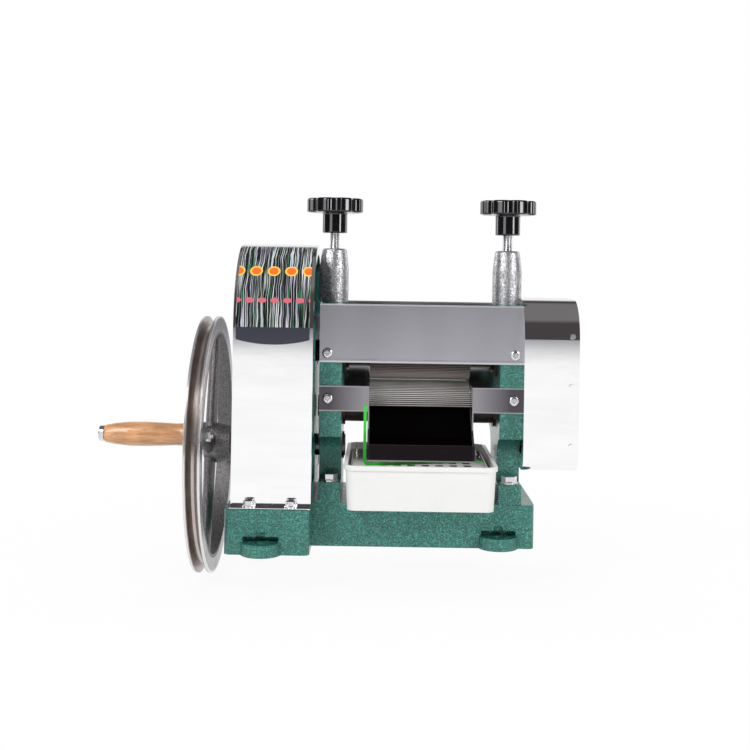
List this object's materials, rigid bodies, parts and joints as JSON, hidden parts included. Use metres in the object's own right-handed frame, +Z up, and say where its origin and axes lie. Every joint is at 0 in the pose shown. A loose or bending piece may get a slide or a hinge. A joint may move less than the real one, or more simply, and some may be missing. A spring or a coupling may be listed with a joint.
{
  "type": "manual sugarcane juicer",
  "caption": "Bench-mounted hand cranked roller press with a grooved handwheel, stacked fluted rollers, gear covers, pressure knobs, discharge chute and a juice tray.",
  "frame": {"origin": "middle of the base casting's length and width, on the face that lies on the bench", "axes": "+X along the rollers, away from the handwheel; -Y to the front, where the chute and the tray are; +Z up"},
  "size_m": [0.5381, 0.303, 0.4475],
  "materials": {
    "green_casting": "hammertone enamel",
    "rough_cast": "rough cast, silver paint",
    "stainless_sheet": "bright rolled sheet",
    "machined_steel": "turned and milled",
    "bronze": "machined",
    "zinc_plated": "zinc plated",
    "black_knob": "glossy phenolic",
    "varnished_wood": "varnished",
    "white_plastic": "moulded",
    "green_plastic": "moulded"
  },
  "bodies": {
    "root": {"base_casting": "green_casting", "left_frame": "green_casting", "right_frame": "green_casting", "gear_frame": "green_casting", "frame_foot_bolts": "zinc_plated", "left_post": "rough_cast", "right_post": "rough_cast", "lower_left_bush": "bronze", "lower_right_bush": "bronze", "crank_inner_bush": "bronze", "crank_outer_bush": "bronze", "gear_cover": "stainless_sheet", "gear_cover_cheek": "stainless_sheet", "gear_cover_screws": "zinc_plated", "roller_gear_cover": "stainless_sheet", "roller_gear_cover_end": "stainless_sheet", "roller_gear_cover_rivets": "stainless_sheet", "roller_gear_cover_screws": "zinc_plated", "front_shield": "stainless_sheet", "rear_shield": "stainless_sheet", "discharge_chute": "stainless_sheet", "feed_guide": "stainless_sheet", "shield_screws": "zinc_plated", "chute_and_guide_screws": "zinc_plated", "splash_strip": "green_plastic"},
    "upper_carriage": {"left_bearing_block": "machined_steel", "right_bearing_block": "machined_steel", "upper_left_bush": "bronze", "upper_right_bush": "bronze", "screw_retaining_pins": "machined_steel"},
    "left_knob": {"left_pressure_screw": "zinc_plated", "left_star_knob": "black_knob"},
    "right_knob": {"right_pressure_screw": "zinc_plated", "right_star_knob": "black_knob"},
    "upper_roller": {"upper_roller": "machined_steel", "upper_roller_gear": "machined_steel", "upper_gear_key": "machined_steel", "upper_gear_nut": "zinc_plated", "big_gear": "machined_steel", "big_gear_key": "machined_steel", "big_gear_bolt": "zinc_plated"},
    "lower_roller": {"lower_roller": "machined_steel", "lower_roller_ring": "machined_steel", "lower_roller_gear": "machined_steel", "lower_gear_key": "machined_steel", "lower_gear_nut": "zinc_plated"},
    "wheel": {"handwheel": "rough_cast", "wheel_key": "machined_steel", "wheel_nut": "zinc_plated", "wheel_washer": "zinc_plated", "crank_shaft": "machined_steel", "crank_pinion": "machined_steel", "pinion_key": "machined_steel", "crank_ring": "machined_steel", "grip_bolt": "zinc_plated", "grip_washer": "zinc_plated", "grip_nut": "zinc_plated"},
    "grip": {"wooden_grip": "varnished_wood"},
    "tray": {"juice_tray": "white_plastic", "strainer": "stainless_sheet"}
  },
  "joints": [
    {"name": "wheel_spin", "type": "hinge", "parent": "root", "child": "wheel", "pos_m": [-0.2063, 0, 0.107], "axis": [1, 0, 0], "continuous": true},
    {"name": "grip_spin", "type": "hinge", "parent": "wheel", "child": "grip", "pos_m": [-0.2631, -0.10324, 0.13103], "axis": [1, 0, 0], "continuous": true},
    {"name": "left_knob_turn", "type": "hinge", "parent": "upper_carriage", "child": "left_knob", "pos_m": [-0.0609, 0, 0.39], "axis": [0, 0, 1], "range_deg": [0, 720]},
    {"name": "right_knob_turn", "type": "hinge", "parent": "upper_carriage", "child": "right_knob", "pos_m": [0.1465, 0, 0.39], "axis": [0, 0, 1], "range_deg": [0, 720]},
    {"name": "upper_carriage_lift", "type": "slide", "parent": "root", "child": "upper_carriage", "axis": [0, 0, 1], "range_m": [0, 0.0035]},
    {"name": "upper_roller_spin", "type": "hinge", "parent": "upper_carriage", "child": "upper_roller", "pos_m": [0.0428, 0, 0.2195], "axis": [1, 0, 0], "continuous": true},
    {"name": "lower_roller_spin", "type": "hinge", "parent": "root", "child": "lower_roller", "pos_m": [0.0428, 0, 0.1535], "axis": [1, 0, 0], "continuous": true},
    {"name": "tray_slide", "type": "slide", "parent": "root", "child": "tray", "axis": [0, -1, 0], "range_m": [0, 0.12]}
  ],
  "couplings": [
    {"joint": "upper_roller_spin", "follows": "wheel_spin", "ratio": -0.33929},
    {"joint": "lower_roller_spin", "follows": "wheel_spin", "ratio": 0.33929},
    {"joint": "left_knob_turn", "follows": "upper_carriage_lift", "rad_per_m": 3590.4},
    {"joint": "right_knob_turn", "follows": "upper_carriage_lift", "rad_per_m": 3590.4}
  ]
}
